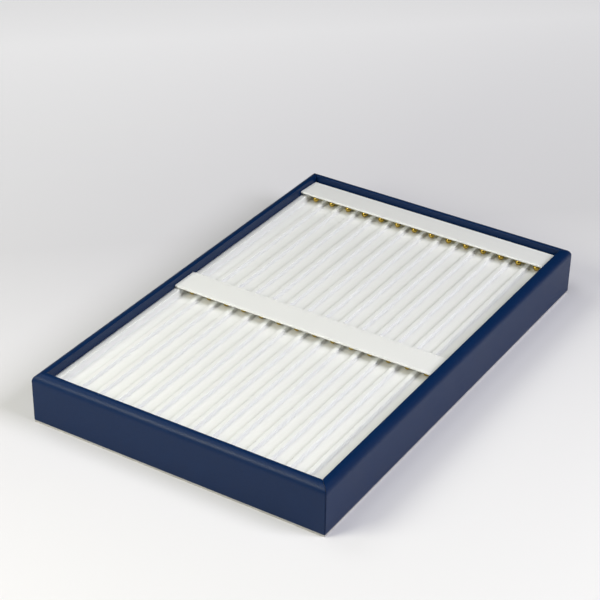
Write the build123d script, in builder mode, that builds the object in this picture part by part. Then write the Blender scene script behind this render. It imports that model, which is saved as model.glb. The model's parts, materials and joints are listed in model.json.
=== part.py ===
from build123d import *
import os
from math import cos, radians, sin

# Jeweller's chain tray: a mitred frame wrapped in navy leatherette, round two rows of lined
# grooves. Each row ends in a rail of brass ball hooks, covered by a thin hinged flap.
# X runs across the tray, +Y from its front to its rear, and Z up from the base board's
# underside. The origin is the centre of that underside.

# ------------------------------------------------------------ driving dimensions (mm, degrees)
tray_width = 240.0            # outside the leatherette
tray_length = 372.5           # outside the leatherette
tray_height = 39.8            # underside of the base board to the top of the rim

base_thickness = 1.6          # greyboard closing the underside
base_inset = 0.5              # base board's edge inside the frame's face

rail_core_thickness = 6.0     # fibreboard of the frame
navy_leatherette = 0.8        # wrapping of the frame
outer_edge_radius = 6.0       # rounded outer top edge, over the leatherette
inner_edge_radius = 1.0       # inner top edge, over the leatherette
turn_under = 5.0              # leatherette turned in under each rail
mitre_gap = 0.1               # seam between two wrapped rails

row_count = 2                 # rows of grooves, one behind the other
groove_count = 14             # grooves across a row
recess_depth = 13.5           # top of the rim down to the groove floors
ridge_width = 3.6             # over the lining
ridge_height = 2.8            # ridge top above the groove floor
ridge_edge_radius = 0.8       # over the lining
border_width = 4.825          # raised border beside the outermost grooves
border_height = 5.9           # border top above the groove floor
white_leatherette = 0.5       # lining, rail covers, flap covers and hinge strips
insert_board_thickness = 3.0  # board under a row
support_count = 4             # long battens that carry the insert boards
support_width = 18.0
fit_clearance = 0.3           # between the insert and the frame

hinge_setback = 2.2           # hinge line in front of the row's rear end
hook_rail_depth = 11.4        # hinge line to the rail's covered front face
hook_rail_height = 6.6        # rail top above the groove floor
hook_rail_radius = 1.0        # front top edge of the covered rail
ball_diameter = 5.2
ball_floor_gap = 0.2          # ball above the groove floor
hook_reach = 4.1              # ball centre in front of the rail's face
neck_diameter = 2.2
neck_clearance = 0.05         # all round the neck in its bore
bore_depth = 8.0              # bore in the rail, behind its covered face
hook_sides = 10               # balls, necks and bores are drawn with flats all round
ball_bands = 5                # rows of flats from a ball's back to its front

flap_depth = 22.7             # hinge line to front edge
flap_thickness = 1.8          # over both skins
flap_edge_radius = 0.7        # rounded front edge
flap_gap = 0.3                # closed flap above the hook rail
front_flap_lift = 0.0         # how far each flap's fold holds it up at rest
rear_flap_lift = 3.1
hinge_strip_height = 5.0      # strip glued to the back of the hook rail
hinge_strip_drop = 1.0        # free fold between the strip's glued top and the rail's top

# ------------------------------------------------------------ sizes that follow
rail_thickness = rail_core_thickness + 2 * navy_leatherette
rim_radius = min(outer_edge_radius, rail_thickness - 1.5 * inner_edge_radius)
inner_width = tray_width - 2 * rail_thickness
inner_length = tray_length - 2 * rail_thickness
insert_width = inner_width - 2 * fit_clearance
row_length = inner_length / row_count

field_width = inner_width - 2 * border_width  # between the two borders
groove_width = (field_width - (groove_count - 1) * ridge_width) / groove_count
groove_pitch = groove_width + ridge_width

groove_floor = tray_height - recess_depth
board_top = groove_floor - white_leatherette
board_underside = board_top - insert_board_thickness
ridge_top = groove_floor + ridge_height
border_top = groove_floor + border_height
hook_rail_top = groove_floor + hook_rail_height
hook_height = groove_floor + ball_floor_gap + ball_diameter / 2
grooved_length = row_length - fit_clearance - hinge_setback - hook_rail_depth

SEATED = (Align.CENTER, Align.MIN)  # centred across, standing on its place

os.makedirs("parts", exist_ok=True)


def finish(piece, name):
    """Label a finished piece and write its STEP file."""
    piece.part.label = name
    export_step(piece.part, f"parts/{name}.step")


# ------------------------------------------------------------ frame
def rail_section(inset):
    """Section of a frame rail, x inwards from the tray's side and y up, drawn in by inset."""
    with BuildSketch() as section:
        with Locations((rail_thickness / 2, (base_thickness + tray_height) / 2)):
            Rectangle(rail_thickness - 2 * inset, tray_height - base_thickness - 2 * inset)
        fillet(section.vertices().group_by(Axis.Y)[-1].sort_by(Axis.X)[0], rim_radius - inset)
        fillet(section.vertices().group_by(Axis.Y)[-1].sort_by(Axis.X)[-1], inner_edge_radius - inset)
    return section.sketch


def cover_section():
    """The leatherette round a rail: under it, up outside, over the rim and down inside."""
    with BuildSketch() as section:
        add(rail_section(0))
        add(rail_section(navy_leatherette), mode=Mode.SUBTRACT)
        with Locations((rail_thickness, base_thickness)):
            Rectangle(
                rail_thickness - turn_under,
                navy_leatherette,
                align=(Align.MAX, Align.MIN),
                mode=Mode.SUBTRACT,
            )
    return section.sketch


def mitred_rail(name, side, half_length, section):
    """Run a section along one side of the tray and cut both ends to the mitre."""
    with BuildPart() as rail:
        with BuildSketch(side):
            add(section)
        extrude(amount=half_length, both=True)
        for run in (side.z_dir, -side.z_dir):
            corner = side.origin + run * half_length
            mitre = Plane(origin=corner, z_dir=run + side.x_dir)
            split(bisect_by=mitre.offset(-mitre_gap / 2), keep=Keep.BOTTOM)
    finish(rail, name)


def frame():
    """Four wrapped rails. Each side's plane has x pointing inwards and z along the rail."""
    sides = {
        "front": (Plane((0, -tray_length / 2, 0), x_dir=(0, 1, 0), z_dir=(1, 0, 0)), tray_width / 2),
        "rear": (Plane((0, tray_length / 2, 0), x_dir=(0, -1, 0), z_dir=(-1, 0, 0)), tray_width / 2),
        "left": (Plane((-tray_width / 2, 0, 0), x_dir=(1, 0, 0), z_dir=(0, -1, 0)), tray_length / 2),
        "right": (Plane((tray_width / 2, 0, 0), x_dir=(-1, 0, 0), z_dir=(0, 1, 0)), tray_length / 2),
    }
    for name, (side, half_length) in sides.items():
        mitred_rail(f"{name}_frame_core", side, half_length, rail_section(navy_leatherette))
        mitred_rail(f"{name}_frame_cover", side, half_length, cover_section())


def base_board():
    """Board glued to the frame's underside, its edge a little inside the leatherette."""
    with BuildPart() as board:
        with BuildSketch():
            Rectangle(tray_width - 2 * base_inset, tray_length - 2 * base_inset)
        extrude(amount=base_thickness)
    finish(board, "base_board")


def support_battens():
    """Battens standing on the base board, which carry both insert boards."""
    with BuildPart() as battens:
        with BuildSketch(Plane.XY.offset(base_thickness)):
            with GridLocations(inner_width / support_count, 0, support_count, 1):
                Rectangle(support_width, inner_length - 2 * fit_clearance)
        extrude(amount=board_underside - base_thickness)
    finish(battens, "support_battens")


# ------------------------------------------------------------ one row of grooves
def cross_plane(y):
    """Plane across the tray at y, with x to the right and y up. It faces the front."""
    return Plane.XZ.offset(-y)


def insert_board(row, row_end):
    """Flat board that a row's battens, borders and hook rail are glued to."""
    with BuildPart() as board:
        with BuildSketch(cross_plane(row_end - fit_clearance)):
            with Locations((0, board_underside)):
                Rectangle(insert_width, insert_board_thickness, align=SEATED)
        extrude(amount=row_length - 2 * fit_clearance)
    finish(board, f"{row}_insert_board")


def ridge_section():
    """The battens that raise the ridges, side by side, their top edges chamfered."""
    with BuildSketch() as section:
        with GridLocations(groove_pitch, 0, groove_count - 1, 1):
            with Locations((0, board_top)):
                Rectangle(ridge_width - 2 * white_leatherette, ridge_height, align=SEATED)
        chamfer(section.vertices().group_by(Axis.Y)[-1], ridge_edge_radius - white_leatherette)
    return section.sketch


def border_section(side):
    """The strip that raises one border, side -1 on the left and 1 on the right."""
    strip_inside = field_width / 2 + white_leatherette
    with BuildSketch() as section:
        with Locations((side * (strip_inside + insert_width / 2) / 2, board_top)):
            Rectangle(insert_width / 2 - strip_inside, border_height, align=SEATED)
        inner_corner = section.vertices().group_by(Axis.Y)[-1].sort_by(lambda corner: abs(corner.X))[0]
        chamfer(inner_corner, ridge_edge_radius - white_leatherette)
    return section.sketch


def lining_section():
    """One sheet over the borders and ridges and down on every groove floor between them."""
    with BuildSketch() as section:
        with Locations((0, board_top)):
            Rectangle(insert_width, border_top - board_top, align=SEATED)
        with Locations((0, ridge_top)):
            Rectangle(field_width, border_top - ridge_top, align=SEATED, mode=Mode.SUBTRACT)
        with GridLocations(groove_pitch, 0, groove_count, 1):
            with Locations((0, groove_floor)):
                Rectangle(groove_width, ridge_height, align=SEATED, mode=Mode.SUBTRACT)
        heights = section.vertices().group_by(Axis.Y)
        border_corners = heights[-1].filter_by(lambda corner: abs(corner.X) < insert_width / 2 - fit_clearance)
        ridge_corners = section.vertices().filter_by(
            lambda corner: abs(corner.Y - ridge_top) < ridge_height / 2
            and abs(corner.X) < (field_width - groove_width) / 2
        )
        fillet(border_corners + ridge_corners, ridge_edge_radius)
        add(ridge_section(), mode=Mode.SUBTRACT)
        add(border_section(-1), mode=Mode.SUBTRACT)
        add(border_section(1), mode=Mode.SUBTRACT)
    return section.sketch


def grooved_piece(name, row_end, section):
    """Run a section from the hook rail's face to the front end of its row."""
    with BuildPart() as piece:
        with BuildSketch(cross_plane(row_end - hinge_setback - hook_rail_depth)):
            add(section)
        extrude(amount=grooved_length)
    finish(piece, name)


def grooves(row, row_end):
    """Battens and border strips of a row, and the lining that covers them."""
    grooved_piece(f"{row}_ridge_battens", row_end, ridge_section())
    grooved_piece(f"{row}_left_border_strip", row_end, border_section(-1))
    grooved_piece(f"{row}_right_border_strip", row_end, border_section(1))
    grooved_piece(f"{row}_groove_lining", row_end, lining_section())


# ------------------------------------------------------------ hooks at the head of a row
def hook_plane(row_end):
    """Plane on the hook rail's covered face, at the height of the hooks. It faces the front."""
    face = row_end - hinge_setback - hook_rail_depth
    return Plane((0, face, hook_height), x_dir=(1, 0, 0), z_dir=(0, -1, 0))


def hook_rail_section(row_end, skin):
    """Section of the hook rail, drawn in by skin at its front and top."""
    with BuildSketch() as section:
        with Locations((row_end - hinge_setback, board_top)):
            Rectangle(
                hook_rail_depth - skin,
                hook_rail_top - board_top - skin,
                align=(Align.MAX, Align.MIN),
            )
        fillet(section.vertices().group_by(Axis.Y)[-1].sort_by(Axis.X)[0], hook_rail_radius - skin)
    return section.sketch


def bored_rail(name, row_end, section):
    """Run a hook rail section across the tray and bore it at the head of each groove."""
    with BuildPart() as rail:
        with BuildSketch(Plane.YZ):
            add(section)
        extrude(amount=insert_width / 2, both=True)
        with BuildSketch(hook_plane(row_end)):
            with GridLocations(groove_pitch, 0, groove_count, 1):
                RegularPolygon(neck_diameter / 2 + neck_clearance, hook_sides)
        extrude(amount=-bore_depth, mode=Mode.SUBTRACT)
    finish(rail, name)


def hook_rail(row, row_end):
    """Wooden rail that holds the hooks, and the leatherette over its top and front."""
    bored_rail(f"{row}_hook_rail", row_end, hook_rail_section(row_end, white_leatherette))
    with BuildSketch() as skin:
        add(hook_rail_section(row_end, 0))
        add(hook_rail_section(row_end, white_leatherette), mode=Mode.SUBTRACT)
    bored_rail(f"{row}_hook_rail_cover", row_end, skin.sketch)


def ball_hook():
    """One hook standing along Z, its ball at the origin and its neck running down.

    The ball is a ruled loft through rings: a ring at latitude t has the radius of the ball
    times cos t and lies at that radius times sin t.
    """
    ball_radius = ball_diameter / 2
    band = 180 / (ball_bands + 1)
    with BuildPart() as hook:
        for ring in range(ball_bands + 1):
            latitude = radians(band * (ring + 1 / 2) - 90)
            with BuildSketch(Plane.XY.offset(ball_radius * sin(latitude))):
                RegularPolygon(ball_radius * cos(latitude), hook_sides)
        loft(ruled=True)
        with BuildSketch():
            RegularPolygon(neck_diameter / 2, hook_sides)
        extrude(amount=-(hook_reach + bore_depth))
    return hook.part


def ball_hooks(row, row_end):
    """Brass ball hooks of a row, their necks pressed into the rail at the head of each groove."""
    one_hook = ball_hook()
    with BuildPart() as hooks:
        with Locations(hook_plane(row_end).offset(hook_reach)):
            with GridLocations(groove_pitch, 0, groove_count, 1):
                add(one_hook)
    finish(hooks, f"{row}_ball_hooks")


# ------------------------------------------------------------ flap over the hooks
def flap_plane(row_end, lift):
    """Plane square to the hinge line, x forwards along the flap's underside and y out of its top."""
    hinge = (0, row_end - hinge_setback, hook_rail_top + flap_gap)
    forwards = (0, -cos(radians(lift)), sin(radians(lift)))
    return Plane(hinge, x_dir=forwards, z_dir=(-1, 0, 0))


def flap_core_section():
    """Section of a flap's stiff board, inside its leatherette everywhere but along the hinge."""
    with BuildSketch() as section:
        with Locations((0, white_leatherette)):
            Rectangle(
                flap_depth - white_leatherette,
                flap_thickness - 2 * white_leatherette,
                align=(Align.MIN, Align.MIN),
            )
    return section.sketch


def flap(row, row_end, lift):
    """Thin flap that hides the hooks: a stiff board in a leatherette sleeve with a round nose."""
    plane = flap_plane(row_end, lift)
    core_half_width = insert_width / 2 - white_leatherette

    with BuildPart() as board:
        with BuildSketch(plane):
            add(flap_core_section())
        extrude(amount=core_half_width, both=True)
    finish(board, f"{row}_flap_board")

    with BuildPart() as cover:
        with BuildSketch(plane) as section:
            Rectangle(flap_depth, flap_thickness, align=(Align.MIN, Align.MIN))
            fillet(section.vertices().group_by(Axis.X)[-1], flap_edge_radius)
        extrude(amount=insert_width / 2, both=True)
        with BuildSketch(plane):
            add(flap_core_section())
        extrude(amount=core_half_width, both=True, mode=Mode.SUBTRACT)
    finish(cover, f"{row}_flap_cover")


def hinge_strip(row, row_end):
    """Leatherette strip glued down the back of the hook rail, whose fold carries the flap."""
    with BuildPart() as strip:
        with BuildSketch(cross_plane(row_end - hinge_setback + white_leatherette)):
            with Locations((0, hook_rail_top - hinge_strip_drop)):
                Rectangle(insert_width, hinge_strip_height, align=(Align.CENTER, Align.MAX))
        extrude(amount=white_leatherette)
    finish(strip, f"{row}_hinge_strip")


# ------------------------------------------------------------ the tray
base_board()
frame()
support_battens()
for number, (row, lift) in enumerate((("front", front_flap_lift), ("rear", rear_flap_lift)), start=1):
    row_end = number * row_length - inner_length / 2
    insert_board(row, row_end)
    grooves(row, row_end)
    hook_rail(row, row_end)
    ball_hooks(row, row_end)
    flap(row, row_end, lift)
    hinge_strip(row, row_end)
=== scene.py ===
import json
from math import cos, pi, radians, sin

import bpy
import numpy as np
from mathutils import Matrix, Vector


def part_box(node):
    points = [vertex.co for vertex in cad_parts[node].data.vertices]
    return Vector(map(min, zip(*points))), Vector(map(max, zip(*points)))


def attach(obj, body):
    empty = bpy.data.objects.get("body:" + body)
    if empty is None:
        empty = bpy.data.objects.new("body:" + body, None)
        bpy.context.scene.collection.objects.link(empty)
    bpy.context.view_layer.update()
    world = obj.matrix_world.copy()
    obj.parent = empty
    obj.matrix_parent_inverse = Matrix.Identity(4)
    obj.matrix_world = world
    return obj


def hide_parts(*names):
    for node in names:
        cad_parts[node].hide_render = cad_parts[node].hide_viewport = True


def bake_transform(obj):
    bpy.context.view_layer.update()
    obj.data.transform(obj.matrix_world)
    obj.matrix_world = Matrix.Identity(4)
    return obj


# Jeweller's chain tray: a navy leatherette frame round two rows of white lined grooves, each
# row with brass ball hooks under a hinged flap. Lengths are in metres.

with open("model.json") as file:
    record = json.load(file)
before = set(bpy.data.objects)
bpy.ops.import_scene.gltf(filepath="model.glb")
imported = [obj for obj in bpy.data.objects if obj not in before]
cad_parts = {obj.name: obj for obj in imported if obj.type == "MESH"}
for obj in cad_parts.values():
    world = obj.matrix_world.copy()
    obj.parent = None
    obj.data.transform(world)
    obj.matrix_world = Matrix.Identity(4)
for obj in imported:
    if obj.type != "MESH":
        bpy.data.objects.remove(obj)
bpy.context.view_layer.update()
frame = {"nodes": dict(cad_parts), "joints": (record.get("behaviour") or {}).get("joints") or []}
MM = 0.001


# ---- Viewpoint
# A long lens looks down on the tray from its front right corner. It is shifted and rolled a
# little, and its axis meets the picture to the right of its middle and below it.
view_azimuth, view_elevation, view_roll = radians(29.263), radians(33.128), radians(2.309)
aim = Vector((32.2, 6.4, 1.6)) * MM
view_distance = 1360.9 * MM
image_side, focal_pixels, axis_pixel = 600, 1821.4, (359.1, 360.1)

towards_camera = Vector(
    (
        sin(view_azimuth) * cos(view_elevation),
        -cos(view_azimuth) * cos(view_elevation),
        sin(view_elevation),
    )
)
level = Vector((cos(view_azimuth), sin(view_azimuth), 0))
upright = towards_camera.cross(level)
across = level * cos(view_roll) + upright * sin(view_roll)
up = upright * cos(view_roll) - level * sin(view_roll)
lens = bpy.data.cameras.new("viewpoint")
lens.sensor_width = 36
lens.lens = lens.sensor_width * focal_pixels / image_side
lens.shift_x = (image_side / 2 - axis_pixel[0]) / image_side
lens.shift_y = (axis_pixel[1] - image_side / 2) / image_side
lens.clip_start, lens.clip_end = 0.05, 50
camera = bpy.data.objects.new("viewpoint", lens)
camera.matrix_world = Matrix.Translation(aim + towards_camera * view_distance) @ Matrix(
    (across, up, towards_camera)
).transposed().to_4x4()
bpy.context.scene.collection.objects.link(camera)
bpy.context.scene.camera = camera
bpy.context.scene.view_settings.view_transform = "Standard"


# ---- Studio
# A pale paper floor under a broad soft box at the right, a smaller one at the front left, and two
# weak ones above and at the left. The paper's colour carries painted shade: a little darker at
# the left and much darker out to the right, under the broad box. It also glows behind the tray
# and far off, painted light as a lit backdrop gives. The room round it gives little light, but
# looks pale.
def node_maker(tree):
    """Returns a function that adds a node, sets its sockets and properties, and links inputs."""

    def make(kind, values=(), **settings):
        node = tree.nodes.new(kind)
        for name, value in settings.items():
            setattr(node, name, value)
        for socket, value in dict(values).items():
            if isinstance(value, bpy.types.NodeSocket):
                tree.links.new(value, node.inputs[socket])
            else:
                node.inputs[socket].default_value = value
        return node

    return make


def ramp(make, value, start, end, low=0.0, high=1.0):
    """A value that goes from low to high as the given one goes from start to end."""
    ends = {"From Min": start, "From Max": end, "To Min": low, "To Max": high}
    return make("ShaderNodeMapRange", {"Value": value, **ends}).outputs[0]


def soft_lamp(name, azimuth, elevation, distance, size, watts, colour):
    """A square soft box that faces the middle of the tray.

    The angles are in degrees, the azimuth from the tray's right towards its rear.
    """
    lamp = bpy.data.lights.new(name, "AREA")
    lamp.size = size
    lamp.energy = watts
    lamp.color = colour
    azimuth, elevation = radians(azimuth), radians(elevation)
    towards_lamp = Vector(
        (cos(azimuth) * cos(elevation), sin(azimuth) * cos(elevation), sin(elevation))
    )
    box = bpy.data.objects.new(name, lamp)
    box.location = towards_lamp * distance
    box.rotation_mode = "QUATERNION"
    box.rotation_quaternion = towards_lamp.to_track_quat("Z", "Y")
    bpy.context.scene.collection.objects.link(box)


soft_lamp("right_lamp", 2, 41, distance=1.5, size=0.7, watts=14.1, colour=(0.98, 0.97, 1.0))
soft_lamp("front_lamp", 243, 36, distance=0.95, size=0.4, watts=4.5, colour=(1.0, 0.99, 0.82))
soft_lamp("upper_lamp", 262, 72, distance=1.2, size=0.5, watts=2.6, colour=(1.0, 1.0, 0.94))
soft_lamp("left_lamp", 180, 55, distance=1.2, size=0.5, watts=1.6, colour=(0.97, 1.0, 0.96))

world = bpy.data.worlds.new("room")
bpy.context.scene.world = world
world.use_nodes = True
world.node_tree.nodes.clear()
make = node_maker(world.node_tree)
path = make("ShaderNodeLightPath")
dim = make("ShaderNodeBackground", {"Color": (1, 1, 1, 1), "Strength": 0.02})
pale = make("ShaderNodeBackground", {"Color": (0.78, 0.78, 0.77, 1), "Strength": 1.0})
seen = {0: path.outputs["Is Camera Ray"], 1: dim.outputs[0], 2: pale.outputs[0]}
room = make("ShaderNodeMixShader", seen)
make("ShaderNodeOutputWorld", {"Surface": room.outputs[0]})

floor_reach = 3.0
# Painted shade on the paper: its colour across the tray's width, darker at the left and far right.
paper_left, painted_left_tone = -0.1, (0.805, 0.8, 0.862, 1)
paper_right, painted_right_tone = 0.3, (0.93, 0.93, 0.96, 1)
under_box, painted_under_box_tone = 0.9, (0.6, 0.6, 0.62, 1)
backdrop_azimuth = view_azimuth + radians(13.5)
backdrop_start, backdrop_full, backdrop_glow = 0.19, 0.6, 0.367
distant_start, distant_full, distant_glow = 0.85, 1.7, 0.6

floor_mesh = bpy.data.meshes.new("paper_floor")
floor_mesh.from_pydata(
    [(x * floor_reach, y * floor_reach, 0) for x, y in ((-1, -1), (1, -1), (1, 1), (-1, 1))],
    [],
    [(0, 1, 2, 3)],
)
paper = bpy.data.materials.new("floor_paper")
paper.use_nodes = True
paper.node_tree.nodes.clear()
make = node_maker(paper.node_tree)
place = make("ShaderNodeTexCoord").outputs["Object"]
split = make("ShaderNodeSeparateXYZ", {0: place})
# The paper's colour from left to right is painted shade.
tone = make("ShaderNodeValToRGB", {0: ramp(make, split.outputs["X"], paper_left, under_box)})
stops = tone.color_ramp.elements
stops[0].color = painted_left_tone
stops[1].color = painted_under_box_tone
stops.new((paper_right - paper_left) / (under_box - paper_left)).color = painted_right_tone
matt = make("ShaderNodeBsdfDiffuse", {"Color": tone.outputs[0]})
backwards = {0: place, 1: (-sin(backdrop_azimuth), cos(backdrop_azimuth), 0)}
behind = make("ShaderNodeVectorMath", backwards, operation="DOT_PRODUCT").outputs["Value"]
away = make("ShaderNodeVectorMath", {0: place}, operation="LENGTH").outputs["Value"]
glows = {
    0: ramp(make, behind, backdrop_start, backdrop_full, high=backdrop_glow),
    1: ramp(make, away, distant_start, distant_full, high=distant_glow),
}
brighter = make("ShaderNodeMath", glows, operation="MAXIMUM")
glow = make("ShaderNodeEmission", {"Color": (1, 1, 0.985, 1), "Strength": brighter.outputs[0]})
surface = make("ShaderNodeAddShader", {0: matt.outputs[0], 1: glow.outputs[0]})
make("ShaderNodeOutputMaterial", {"Surface": surface.outputs[0]})
floor_mesh.materials.append(paper)
paper_floor = bpy.data.objects.new("paper_floor", floor_mesh)
bpy.context.scene.collection.objects.link(paper_floor)


# ---- Base board
# Greyboard glued flat under the frame. Its cut edge shows as a thin pale line all round, with
# the layers of the board in it. The flaps are stiffened with the same board.
def material(name, colour, roughness, pattern, **settings):
    """A Principled finish, whose pattern function adds what changes over the surface."""
    finish = bpy.data.materials.new(name)
    finish.use_nodes = True
    tree = finish.node_tree
    tree.nodes.clear()
    make = node_maker(tree)
    plain = {"Base Color": (*colour, 1), "Roughness": roughness, **settings}
    shader = make("ShaderNodeBsdfPrincipled", plain)
    make("ShaderNodeOutputMaterial", {"Surface": shader.outputs[0]})
    place = make("ShaderNodeTexCoord").outputs["Object"]
    pattern(make, tree.links.new, shader.inputs, place)
    return finish


def two_tones(make, amount, first, second, mode="MIX"):
    """Colour that goes from the first tone to the second as amount goes from 0 to 1.

    A tone is a colour or a node's output. Multiplied, the second tone tints the first. The
    colours of a mix node are its inputs 6 and 7 and its output 2.
    """
    first, second = (
        tone if isinstance(tone, bpy.types.NodeSocket) else (*tone, 1) for tone in (first, second)
    )
    mix = {"Factor": amount, 6: first, 7: second}
    return make("ShaderNodeMix", mix, data_type="RGBA", blend_type=mode).outputs[2]


def relief(make, link, sockets, height, strength, depth):
    """Turns a height into relief of the surface, the depth in metres to a unit of height."""
    bump = make("ShaderNodeBump", {"Height": height, "Strength": strength, "Distance": depth})
    link(bump.outputs[0], sockets["Normal"])


def dress(nodes, finish):
    """Gives CAD nodes their finish."""
    for name in nodes:
        for slot in frame["nodes"][name].material_slots:
            slot.material = finish


def pressed_pulp(make, link, sockets, place):
    """Thin layers along the board's edge, and flecks of pulp on its faces."""
    flat = make("ShaderNodeMapping", {"Vector": place, "Scale": (80, 80, 5000)})
    layers = make("ShaderNodeTexNoise", {"Vector": flat.outputs[0], "Scale": 1.0, "Detail": 2})
    flecks = make("ShaderNodeTexNoise", {"Vector": place, "Scale": 1500, "Detail": 3})
    both = make("ShaderNodeMath", {0: layers.outputs[0], 1: flecks.outputs[0]}, operation="ADD")
    amount = ramp(make, both.outputs[0], 0.75, 1.25)
    link(two_tones(make, amount, (0.47, 0.46, 0.45), (0.66, 0.65, 0.64)), sockets["Base Color"])
    relief(make, link, sockets, both.outputs[0], strength=0.4, depth=0.1 * MM)


greyboard = material("greyboard", (0.56, 0.55, 0.54), 0.85, pressed_pulp)
dress(["base_board", "front_flap_board", "rear_flap_board"], greyboard)


# ---- Frame cores
# Four lengths of 6 mm fibreboard, sawn to a mitre and glued at the corners, their outer top
# edge rounded. The insert boards are sawn from 3 mm board of the same kind.
def fibre_flecks(make, link, sockets, place):
    """Fine pale and dark fibres pressed every way."""
    tangle = {"Vector": place, "Scale": 900, "Detail": 6, "Roughness": 0.7}
    fibres = make("ShaderNodeTexNoise", tangle).outputs[0]
    amount = ramp(make, fibres, 0.35, 0.65)
    link(two_tones(make, amount, (0.36, 0.25, 0.16), (0.55, 0.42, 0.29)), sockets["Base Color"])
    relief(make, link, sockets, fibres, strength=0.3, depth=0.1 * MM)


fibreboard = material("fibreboard", (0.48, 0.36, 0.24), 0.8, fibre_flecks)
SIDES = ("front", "rear", "left", "right")
dress([f"{side}_frame_core" for side in SIDES], fibreboard)
dress(["front_insert_board", "rear_insert_board"], fibreboard)


# ---- Frame covers
# Navy leatherette glued round each core: turned in under it, up the outside, over the rounded
# rim and down the inside, cut to the mitre with its edges rolled in to a fine seam.
def mesh_piece(name, points, closed_round=False):
    """A smooth piece through one or more grids of points, a face to a cell.

    Closed round, the last column of a grid joins its first.
    """
    index = np.arange(points[..., 0].size).reshape(points.shape[:-1])
    if closed_round:
        index = np.concatenate([index, index[..., :1]], axis=-1)
    corners = (index[..., :-1, :-1], index[..., 1:, :-1], index[..., 1:, 1:], index[..., :-1, 1:])
    mesh = bpy.data.meshes.new(name)
    mesh.from_pydata(points.reshape(-1, 3), [], np.stack(corners, axis=-1).reshape(-1, 4))
    mesh.shade_smooth()
    piece = bpy.data.objects.new(name, mesh)
    bpy.context.scene.collection.objects.link(piece)
    return piece


def thicken(piece, thickness):
    """Gives a sheet its thickness, behind its outer face."""
    wall = piece.modifiers.new("thickness", "SOLIDIFY")
    wall.thickness = thickness
    wall.offset = -1
    wall.use_even_offset = True


def arc(centre, radius, start, end, count):
    """Points of a round from one angle to another, in degrees.

    Each is the centre plus the radius times the angle's cosine and sine.
    """
    angle = np.radians(np.linspace(start, end, count))[:, None]
    return np.array(centre) + radius * np.concatenate([np.cos(angle), np.sin(angle)], axis=1)


def straight(start, end, count):
    """Evenly spaced points between two, without the ends."""
    share = np.linspace(0, 1, count + 2)[1:-1, None]
    return np.array(start) * (1 - share) + np.array(end) * share


def outward(profile):
    """Unit normals on the left of a profile's path, from the points on either side of each."""
    run = np.gradient(profile, axis=0)
    return np.stack([-run[:, 1], run[:, 0]], axis=-1) / np.linalg.norm(run, axis=1)[:, None]


def slackness(along, round_path, seed):
    """Slow uneven waves of a glued sheet, -1 to 1, over its two directions in metres.

    They are the mean of three sines along it: two that swing to and fro with a sine round it,
    and a short one that slants.
    """
    long_wave, short_wave, ripple = 31 * MM, 12.7 * MM, 6.1 * MM
    slow_bend, quick_bend, slant = 11 * MM, 6 * MM, 9 * MM
    slow_swing, quick_swing = 1.3, 1.1
    phase = np.random.default_rng(seed).uniform(0, 2 * pi, 5)
    slow = slow_swing * np.sin(round_path / slow_bend + phase[1])
    quick = quick_swing * np.sin(round_path / quick_bend + phase[3])
    waves = (
        np.sin(along / long_wave + phase[0] + slow)
        + np.sin(along / short_wave + phase[2] + quick)
        + np.sin(along / ripple + round_path / slant + phase[4])
    )
    return waves / 3


navy_skin = 0.8 * MM
rim_round = 6.0 * MM
rim_inner_round = 0.5 * MM
foot_round = 0.7 * MM
turned_under = 5.0 * MM
seam_roll = 0.45 * MM
seam_gap = 0.05 * MM
fullness = {"front": 0.3 * MM, "right": 0.3 * MM, "left": 0.0, "rear": 0.0}
cover_slack = 0.03 * MM


def wrapped_profile(thickness, bottom, top):
    """The outer face as depth into the rail and height: under, up, over and down inside."""
    return np.concatenate(
        [
            straight((turned_under, bottom), (foot_round, bottom), 3),
            arc((foot_round, bottom + foot_round), foot_round, 270, 180, 5),
            straight((0, bottom + foot_round), (0, top - rim_round), 26),
            arc((rim_round, top - rim_round), rim_round, 180, 90, 17),
            arc((thickness - rim_inner_round, top - rim_inner_round), rim_inner_round, 90, 0, 7),
            straight((thickness, top - rim_inner_round), (thickness, bottom + navy_skin), 14),
        ]
    )


def frame_cover(side, inwards, along, seed):
    """A wrapped rail: the profile carried along the side between two mitres.

    At the share u of the half length, a point at depth d lies u times (half length less d)
    from the middle. Within seam_roll of a mitre the face drops by a quarter round.
    """
    low, high = (np.array(corner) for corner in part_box(f"{side}_frame_cover"))
    size = high - low
    inwards, along = np.array(inwards, float), np.array(along, float)
    thickness, half_length = abs(size @ inwards) + fullness[side], abs(size @ along) / 2
    profile = wrapped_profile(thickness, low[2], high[2])
    facing = outward(profile)

    rolled = seam_roll * (1 - np.cos(np.linspace(0, pi / 2, 7)))
    from_seam = np.concatenate([rolled, np.linspace(seam_roll, half_length, 60)[1:]])
    share = 1 - from_seam / half_length
    share = np.concatenate([-share[:-1], share[::-1]])[:, None]
    near = np.clip(1 - (1 - np.abs(share)) * half_length / seam_roll, 0, 1)
    drop = seam_roll * (1 - np.sqrt(1 - near**2))
    path = np.cumsum(np.linalg.norm(np.gradient(profile, axis=0), axis=1))[None, :]
    drop = drop + cover_slack * (1 + slackness(share * half_length, path, seed)) * (1 - near)

    depth = profile[:, 0] - drop * facing[:, 0]
    height = profile[:, 1] - drop * facing[:, 1]
    run = share * (half_length - depth - seam_gap)
    outside = np.where(inwards > 0, low, high) * np.abs(inwards)
    points = outside + depth[..., None] * inwards + run[..., None] * along
    points[..., 2] = height
    cover = mesh_piece(f"{side}_navy_cover", points)
    thicken(cover, navy_skin - seam_roll / 2)
    return cover


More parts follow.
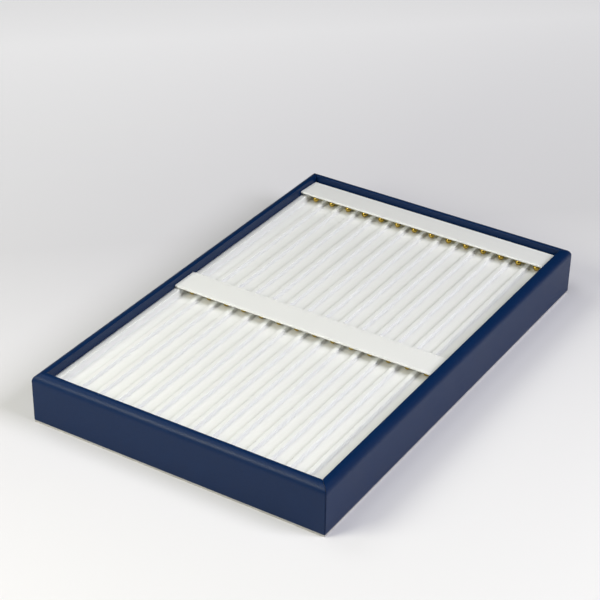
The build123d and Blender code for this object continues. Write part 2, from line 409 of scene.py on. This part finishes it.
def leatherette_grain():
    """Shader group: the height of a fine pebbled grain, its creases, and slow patches.

    The pebbles are the cells round scattered points, domed by the distance from the point and
    creased near the next cell's edge.
    """
    group = bpy.data.node_groups.new("leatherette_grain", "ShaderNodeTree")
    sockets = group.interface
    sockets.new_socket("Place", in_out="INPUT", socket_type="NodeSocketVector")
    sockets.new_socket("Pebbles per metre", in_out="INPUT", socket_type="NodeSocketFloat")
    sockets.new_socket("Height", in_out="OUTPUT", socket_type="NodeSocketFloat")
    sockets.new_socket("Patches", in_out="OUTPUT", socket_type="NodeSocketFloat")
    sockets.new_socket("Creases", in_out="OUTPUT", socket_type="NodeSocketFloat")
    make = node_maker(group)
    given = make("NodeGroupInput")
    place, count = given.outputs["Place"], given.outputs["Pebbles per metre"]
    wander = make("ShaderNodeTexNoise", {"Vector": place, "Scale": 400, "Detail": 2})
    reach = {0: wander.outputs["Color"], 1: (0.6 * MM,) * 3}
    shift = make("ShaderNodeVectorMath", reach, operation="MULTIPLY")
    uneven = make("ShaderNodeVectorMath", {0: place, 1: shift.outputs[0]}, operation="ADD")
    cells = {"Vector": uneven.outputs[0], "Scale": count}
    to_point = make("ShaderNodeTexVoronoi", cells, feature="SMOOTH_F1").outputs["Distance"]
    to_edge = make("ShaderNodeTexVoronoi", cells, feature="DISTANCE_TO_EDGE").outputs["Distance"]
    domes = ramp(make, to_point, 0.0, 0.7, low=1.0, high=0.0)
    creases = ramp(make, to_edge, 0.0, 0.12, low=1.0, high=0.0)
    pebbles = make("ShaderNodeMath", {0: domes, 1: creases}, operation="SUBTRACT")
    fine = make("ShaderNodeTexNoise", {"Vector": place, "Scale": 5200, "Detail": 2})
    added = {0: fine.outputs[0], 1: 0.25, 2: pebbles.outputs[0]}
    height = make("ShaderNodeMath", added, operation="MULTIPLY_ADD").outputs[0]
    slow = {"Vector": place, "Scale": 38, "Detail": 4, "Roughness": 0.55}
    patches = ramp(make, make("ShaderNodeTexNoise", slow).outputs[0], 0.3, 0.7)
    make("NodeGroupOutput", {"Height": height, "Patches": patches, "Creases": creases})
    return group


grain = leatherette_grain()


def leather_face(make, link, sockets, place, pebbles, depth, tones, sheens):
    """A leatherette's grain; returns its colour.

    The pebbles are counted to a metre and the depth is their relief. The tones are two that
    change from patch to patch and a darker one in the creases, which is painted shade, and the
    sheens are the roughness of the two kinds of patch.
    """
    pattern = make("ShaderNodeGroup", node_tree=grain)
    link(place, pattern.inputs["Place"])
    pattern.inputs["Pebbles per metre"].default_value = pebbles
    patches = pattern.outputs["Patches"]
    patchy = two_tones(make, patches, tones[0], tones[1])
    # Painted shade: the creases take the darker third tone.
    colour = two_tones(make, pattern.outputs["Creases"], patchy, tones[2])
    link(colour, sockets["Base Color"])
    link(ramp(make, patches, 0.0, 1.0, *sheens), sockets["Roughness"])
    relief(make, link, sockets, pattern.outputs["Height"], strength=0.5, depth=depth)
    return colour


def navy_face(make, link, sockets, place):
    """Deep navy with a soft sheen."""
    # The third tone is painted shade in the grain's creases.
    tones = ((0.0018, 0.0205, 0.083), (0.0024, 0.0225, 0.09), (0.001, 0.0133, 0.06))
    grain_size = {"pebbles": 1500, "depth": 0.03 * MM}
    leather_face(make, link, sockets, place, **grain_size, tones=tones, sheens=(0.36, 0.4))


navy_leatherette = material(
    "navy_leatherette", (0.002, 0.0215, 0.086), 0.38, navy_face, **{"Specular IOR Level": 0.2}
)
for number, (side, inwards, along) in enumerate(
    (
        ("front", (0, 1, 0), (1, 0, 0)),
        ("rear", (0, -1, 0), (-1, 0, 0)),
        ("left", (1, 0, 0), (0, -1, 0)),
        ("right", (-1, 0, 0), (0, 1, 0)),
    )
):
    cover = frame_cover(side, inwards, along, seed=number)
    cover.data.materials.append(navy_leatherette)
    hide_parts(f"{side}_frame_cover")
    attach(cover, "tray")


# ---- Battens and border strips
# Planed softwood: four long battens that lift the insert boards, and the narrow ones glued on
# the boards to raise the ridges and the two borders of a row.
def softwood_grain(make, link, sockets, place):
    """Growth rings drawn out along the batten."""
    drawn = make("ShaderNodeMapping", {"Vector": place, "Scale": (900, 14, 900)})
    waver = {"Vector": drawn.outputs[0], "Scale": 1.0, "Detail": 3, "Distortion": 0.4}
    rings = make("ShaderNodeTexNoise", waver).outputs[0]
    amount = ramp(make, rings, 0.35, 0.65)
    link(two_tones(make, amount, (0.58, 0.41, 0.24), (0.74, 0.58, 0.38)), sockets["Base Color"])
    relief(make, link, sockets, rings, strength=0.25, depth=0.1 * MM)


ROWS = ("front", "rear")
softwood = material("softwood", (0.68, 0.52, 0.34), 0.6, softwood_grain)
dress(["support_battens"], softwood)
for part in ("ridge_battens", "left_border_strip", "right_border_strip", "hook_rail"):
    dress([f"{row}_{part}" for row in ROWS], softwood)


# ---- Groove linings
# One sheet of white leatherette to a row, pressed down on the groove floors and up over the
# ridges and borders. It butts against the covered hook rail at the row's head.
groove_count = 14
ridge_width = 3.6 * MM
ridge_height = 2.8 * MM
ridge_round = 0.55 * MM
crease_margin = 0.15 * MM
foot_curve = 1.3 * MM
white_skin = 0.5 * MM
lining_slack = 0.003 * MM
groove_shift = 50 * MM
lift_share, lift_slant, lift_crowding = 0.6, 0.4, 3
held_edge = 2.0 * MM
lining_reach = 0.25 * MM
# Painted shade: the lining's colour is darker on the groove floors and fades out at these heights.
shade_fade_start, shade_fade_end = 0.3 * MM, 1.1 * MM
painted_floor_shade = (0.945, 0.945, 0.945)


def ridge_profile():
    """One ridge above its floor: hollow round, wall, round edge and top, then mirrored."""
    half = ridge_width / 2
    left = np.concatenate(
        [
            [(-half - foot_curve - crease_margin, 0)],
            arc((-half - foot_curve, foot_curve), foot_curve, 270, 360, 7),
            arc((-half + ridge_round, ridge_height - ridge_round), ridge_round, 180, 90, 6),
            [(-half + ridge_round + crease_margin, ridge_height)],
        ]
    )
    return np.concatenate([left, [(0, ridge_height)], left[::-1] * (-1, 1)])


def border_profile(half_width, wall, border_height):
    """The right border, from its foot up its wall and over its top until it meets the frame."""
    return np.concatenate(
        [
            [(wall - foot_curve - crease_margin, 0)],
            arc((wall - foot_curve, foot_curve), foot_curve, 270, 360, 7),
            straight((wall, foot_curve), (wall, border_height - ridge_round), 3),
            arc((wall + ridge_round, border_height - ridge_round), ridge_round, 180, 90, 6),
            [(wall + ridge_round + crease_margin, border_height)],
            straight((wall + ridge_round, border_height), (half_width, border_height), 2),
            [(half_width, border_height)],
        ]
    )


def groove_lining(row, seed):
    """The sheet of a row: a profile across the tray, carried from the row's front to its rail.

    The sheet's slack moves a point sideways by slow waves, different in each groove, and up by
    lower ones that slant across the tray. Both fade out within held_edge of the frame.
    """
    low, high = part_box(f"{row}_groove_lining")
    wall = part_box(f"{row}_right_border_strip")[0].x - white_skin
    pitch = (2 * wall + ridge_width) / groove_count
    floor_height = low.z + white_skin

    centres = pitch * (np.arange(1, groove_count) - groove_count / 2)
    ridge = ridge_profile()
    ridges = ridge[None] + np.stack([centres, np.zeros(len(centres))], axis=-1)[:, None]
    floor_share = np.linspace(0, 1, 6)[1:-1]
    foot_reach = ridge_width / 2 + foot_curve + crease_margin
    feet = (foot_reach, pitch - foot_reach)
    floor_x = centres[:, None] + feet[0] + (feet[1] - feet[0]) * floor_share
    floors = np.stack([floor_x, np.zeros_like(floor_x)], axis=-1)
    first_floor = floors[0] - (pitch, 0)
    right = border_profile(high.x + lining_reach, wall, high.z - floor_height)
    profile = np.concatenate(
        [
            right[::-1] * (-1, 1),
            first_floor,
            np.concatenate([ridges, floors], axis=1).reshape(-1, 2),
            right,
        ]
    )

    y = np.linspace(high.y, low.y, 84)[:, None]
    x, z = profile[None, :, 0], profile[None, :, 1] + floor_height
    inside = np.clip((high.x - np.abs(x)) / held_edge, 0, 1)
    sideways = lining_slack * slackness(y, np.round(x / pitch) * groove_shift, seed) * inside
    slanted = slackness(y + lift_slant * x, x * lift_crowding, seed + 7)
    lift = lining_slack * lift_share * slanted * inside
    points = np.stack(np.broadcast_arrays(x + sideways, y, z + lift), axis=-1)
    lining = mesh_piece(f"{row}_white_lining", points)
    thicken(lining, white_skin)
    return lining


def white_face(make, link, sockets, place):
    """White with a fine, shallow grain."""
    # The third tone is painted shade in the grain's creases.
    tones = ((0.885, 0.895, 0.905), (0.895, 0.905, 0.915), (0.868, 0.878, 0.888))
    grain_size = {"pebbles": 1900, "depth": 0.006 * MM}
    return leather_face(make, link, sockets, place, **grain_size, tones=tones, sheens=(0.5, 0.56))


def floor_shaded_face(make, link, sockets, place):
    """The white face of a lining with painted shade: darker on the groove floors than above."""
    white = white_face(make, link, sockets, place)
    height = make("ShaderNodeSeparateXYZ", {0: place}).outputs["Z"]
    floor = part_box("front_groove_lining")[0].z + white_skin
    shade_fade = ramp(make, height, floor + shade_fade_start, floor + shade_fade_end)
    # Painted shade on the floors, lifted to the plain white above them.
    shade = two_tones(make, shade_fade, painted_floor_shade, (1, 1, 1))
    link(two_tones(make, 1.0, white, shade, mode="MULTIPLY"), sockets["Base Color"])


white_leatherette = material("white_leatherette", (0.85, 0.86, 0.84), 0.53, white_face)
floor_shaded_leatherette = material("floor_shaded_leatherette", (0.82, 0.83, 0.82), 0.53, floor_shaded_face)
for number, row in enumerate(ROWS):
    lining = groove_lining(row, seed=20 + number)
    lining.data.materials.append(floor_shaded_leatherette)
    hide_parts(f"{row}_groove_lining")
    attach(lining, "tray")


# ---- Hook rails
# A softwood rail across the head of each row, bored for the hooks, its front and top covered in
# leatherette of the same grain as the white. Its cream colour is painted shade: it tints the
# shade under the flap yellow.
def shade_tint_cream_face(make, link, sockets, place):
    """Cream, a painted tint for the shade under the flap, with a fine, shallow grain."""
    # All three tones are a painted shade tint, the third also painted shade in the creases.
    tones = ((0.8, 0.76, 0.48), (0.82, 0.78, 0.5), (0.76, 0.72, 0.45))
    grain_size = {"pebbles": 1900, "depth": 0.01 * MM}
    leather_face(make, link, sockets, place, **grain_size, tones=tones, sheens=(0.5, 0.56))


shade_tint_cream_leatherette = material("shade_tint_cream_leatherette", (0.8, 0.76, 0.48), 0.53, shade_tint_cream_face)
dress([f"{row}_hook_rail_cover" for row in ROWS], shade_tint_cream_leatherette)


# ---- Ball hooks
# Turned and polished brass: a ball on a straight neck, pressed into the rail at the head of
# each groove, for a chain's end ring.
ball_radius = 2.6 * MM
neck_radius = 1.1 * MM
neck_in_rail = 1.0 * MM
waist_curve = 0.5 * MM
front_ring, widest_ring = radians(75), radians(15)


def ball_hooks(row):
    """Every hook of a row: a profile of radius and reach turned about each hook's axis.

    The neck is straight, flares to the ball through a small hollow round, and the ball closes
    at its front pole. The solid hooks end at the ball's ring of 75 degrees of latitude, and are
    widest at its ring of 15, which gives the balls' reach and pitch.
    """
    low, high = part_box(f"{row}_ball_hooks")
    rail_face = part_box(f"{row}_hook_rail_cover")[0].y
    reach = rail_face - low.y - ball_radius * sin(front_ring)
    pitch = (high.x - low.x - 2 * ball_radius * cos(widest_ring)) / (groove_count - 1)
    join = np.arccos((neck_radius + waist_curve) / (ball_radius + waist_curve))
    turn = np.linspace(-join, pi / 2, 16)
    ball = np.stack([ball_radius * np.cos(turn), reach + ball_radius * np.sin(turn)], axis=-1)
    hollow_centre = (neck_radius + waist_curve, reach - (ball_radius + waist_curve) * sin(join))
    hollow = arc(hollow_centre, waist_curve, 180, 90 + np.degrees(join), 5)
    neck = np.array([(0, -neck_in_rail), (neck_radius, -neck_in_rail), (neck_radius, 0)])
    profile = np.concatenate([neck, hollow[:-1], ball])
    profile[-1, 0] = 0

    around = np.linspace(2 * pi, 0, 29)[:-1]
    centres = pitch * (np.arange(groove_count) - (groove_count - 1) / 2)
    middle = (low.z + high.z) / 2
    radius, out = profile[:, 0, None], profile[:, 1, None]
    x = centres[:, None, None] + radius * np.cos(around)
    z = middle + radius * np.sin(around) + 0 * centres[:, None, None]
    y = rail_face - out + 0 * x
    return np.stack([x, y, z], axis=-1)


def brass_face(make, link, sockets, place):
    """Polished brass, a little browner and duller in slow patches."""
    tarnish = make("ShaderNodeTexNoise", {"Vector": place, "Scale": 260, "Detail": 3}).outputs[0]
    amount = ramp(make, tarnish, 0.35, 0.7)
    link(two_tones(make, amount, (0.6, 0.43, 0.09), (0.44, 0.29, 0.04)), sockets["Base Color"])
    link(ramp(make, tarnish, 0.0, 1.0, low=0.05, high=0.14), sockets["Roughness"])


brass = material("brass", (0.68, 0.45, 0.11), 0.12, brass_face, Metallic=1.0)
for row in ROWS:
    hooks = mesh_piece(f"{row}_brass_hooks", ball_hooks(row), closed_round=True)
    hooks.data.materials.append(brass)
    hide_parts(f"{row}_ball_hooks")
    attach(hooks, "tray")


# ---- Flaps
# A thin greyboard leaf in a sleeve of the white leatherette, its nose and ends rounded by the
# folded skin. A stiff fold holds the rear flap up a little, and the front flap's nose is looser.
sleeve_depth = {"front": 23.7 * MM, "rear": 22.9 * MM}
sleeve_reach = 0.15 * MM
flap_thickness = 1.8 * MM
flap_round = 0.7 * MM
back_round = 0.25 * MM
flat_start = 0.4 * MM
flap_slack = 0.05 * MM
top_shift = 0.3
flap_lift = {"front": 0.0, "rear": 3.1}


def hinge_line(row):
    """A point of the line that a row's flap turns on."""
    name = f"{row}_flap_hinge"
    return next(joint["pos_m"] for joint in frame["joints"] if joint["name"] == name)


def flap_place(row, across_tray, forwards, out):
    """Points given across the tray, forwards from the hinge line and out of the underside.

    Both are turned up by the flap's lift: the sum of each times the lift's cosine or sine.
    """
    hinge = hinge_line(row)
    lift = radians(flap_lift[row])
    across_tray, forwards, out = np.broadcast_arrays(across_tray, forwards, out)
    y = hinge[1] - forwards * cos(lift) + out * sin(lift)
    z = hinge[2] + forwards * sin(lift) + out * cos(lift)
    return np.stack([across_tray, y, z], axis=-1)


def flap_sleeve(row, seed):
    """The sleeve: a flat section with a round nose, carried across the tray.

    Towards each end the section draws in by r (1 - sin t) at r (1 - cos t) from the end, a
    quarter round, and the last section closes on its middle. The skin's slack waves are
    shifted over the top by top_shift of the thickness.
    """
    half_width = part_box(f"{row}_flap_cover")[1].x + sleeve_reach
    nose = sleeve_depth[row] - flap_round
    top = flap_thickness - flap_round
    section = np.concatenate(
        [
            straight((flat_start, 0), (nose, 0), 8),
            arc((nose, flap_round), flap_round, 270, 360, 6),
            arc((nose, top), flap_round, 0, 90, 6),
            straight((nose, flap_thickness), (flat_start, flap_thickness), 8),
            arc((back_round, flap_thickness - back_round), back_round, 90, 180, 5),
            arc((back_round, back_round), back_round, 180, 270, 5),
        ]
    )
    turn = np.linspace(0, pi / 2, 7)
    middle = np.linspace(-half_width + flap_round, half_width - flap_round, 80)[1:-1]
    end = half_width - flap_round * (1 - np.cos(turn))
    across_tray = np.concatenate([[-half_width], -end, middle, end[::-1], [half_width]])
    half_thickness = flap_thickness / 2
    end_round = flap_round * (1 - np.sin(turn))
    drawn_in = np.concatenate(
        [[half_thickness], end_round, 0 * middle, end_round[::-1], [half_thickness]]
    )
    across_tray, drawn_in = across_tray[:, None], drawn_in[:, None]

    round_path = section[:, 0] + top_shift * section[:, 1]
    waves = flap_slack * (1 + slackness(across_tray, round_path, seed)) / 2
    from_middle = section[:, 1] - half_thickness
    out = half_thickness + from_middle * (1 - np.maximum(drawn_in, waves) / half_thickness)
    forwards = section[:, 0] * (1 - np.minimum(drawn_in, flap_round) / sleeve_depth[row])
    points = flap_place(row, across_tray, forwards, out)
    sleeve = mesh_piece(f"{row}_flap_sleeve", points, closed_round=True)
    sleeve.data.materials.append(white_leatherette)
    return sleeve


for number, row in enumerate(ROWS):
    sleeve = flap_sleeve(row, seed=40 + number)
    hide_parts(f"{row}_flap_cover")
    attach(sleeve, f"{row}_flap")


# ---- Hinge strips and folds
# The sleeve's skin runs on past the flap as a free fold, glued down the back of the hook rail.
# The fold is all the hinge there is.
fold_thickness = 0.4 * MM
fold_behind = {"front": 1.1 * MM, "rear": 0.3 * MM}
fold_lap = 0.9 * MM
fold_slack = 0.03 * MM
dress([f"{row}_hinge_strip" for row in ROWS], white_leatherette)


def hinge_fold(row, seed):
    """The free skin: up from the strip's top, over the flap's back edge and onto its top.

    Its thickness is made part of its mesh.
    """
    strip_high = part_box(f"{row}_hinge_strip")[1]
    hinge = hinge_line(row)
    back = fold_behind[row] + fold_thickness
    start = (-fold_thickness, strip_high.z - hinge[2])
    below = straight(start, (-back, 0), 4)
    over = arc((0, 0), 1.0, 180, 90, 12) * (back, flap_thickness)
    lap = straight((0, flap_thickness), (fold_lap, flap_thickness), 2)
    path = np.concatenate([[start], below, over, lap])
    across_tray = np.linspace(strip_high.x, -strip_high.x, 90)[:, None]
    lifted = flap_place(row, across_tray, path[:, 0], path[:, 1])
    unlifted = np.stack(
        np.broadcast_arrays(across_tray, hinge[1] - path[:, 0], hinge[2] + path[:, 1]), axis=-1
    )
    points = np.where((path[:, 1] > 0)[None, :, None], lifted, unlifted)
    slack = fold_slack * (1 + slackness(across_tray, path[:, 1], seed))
    points[..., 1] -= slack * (path[:, 1] < flap_thickness / 2)
    fold = mesh_piece(f"{row}_hinge_fold", points)
    thicken(fold, fold_thickness)
    fold.data.materials.append(white_leatherette)
    thick = fold.evaluated_get(bpy.context.evaluated_depsgraph_get())
    fold.data = bpy.data.meshes.new_from_object(thick)
    fold.modifiers.clear()
    return fold, hinge


for number, row in enumerate(ROWS):
    fold, hinge = hinge_fold(row, seed=60 + number)
    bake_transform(fold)
